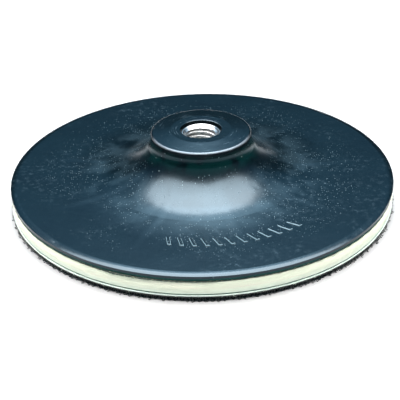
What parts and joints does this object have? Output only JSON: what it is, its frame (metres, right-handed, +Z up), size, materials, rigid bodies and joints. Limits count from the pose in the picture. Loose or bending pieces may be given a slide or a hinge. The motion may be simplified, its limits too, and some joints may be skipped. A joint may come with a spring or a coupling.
{
  "type": "backing pad",
  "caption": "Round hook-face backing pad for a rotary sander: moulded body with a flared hub, threaded steel insert, foam cushion and hook face.",
  "frame": {"origin": "centre of the hook tips, on the pad's axis, which is the centre of the face it rests on", "axes": "+Z up the spindle axis, out of the hub; +X to the right and -Y towards the arc of raised dashes"},
  "size_m": [0.178, 0.178, 0.0352],
  "materials": {
    "shell": "satin moulded blue-black",
    "steel": "turned bright",
    "plated_steel": "zinc plated",
    "board": "glass-epoxy, sawn edge",
    "adhesive": "cured film",
    "foam": "fine open-cell foam, skived edge",
    "scrim": "woven backing cloth",
    "hook_tape": "woven nylon with moulded hooks"
  },
  "bodies": {
    "root": {"backing_shell": "shell", "threaded_insert": "steel", "insert_flange": "plated_steel", "flange_rivets": "plated_steel", "rivet_washers": "plated_steel", "support_board": "board", "board_adhesive": "adhesive", "foam_cushion": "foam", "face_adhesive": "adhesive", "face_scrim": "scrim", "hook_ground": "hook_tape", "hook_field": "hook_tape"}
  },
  "joints": []
}
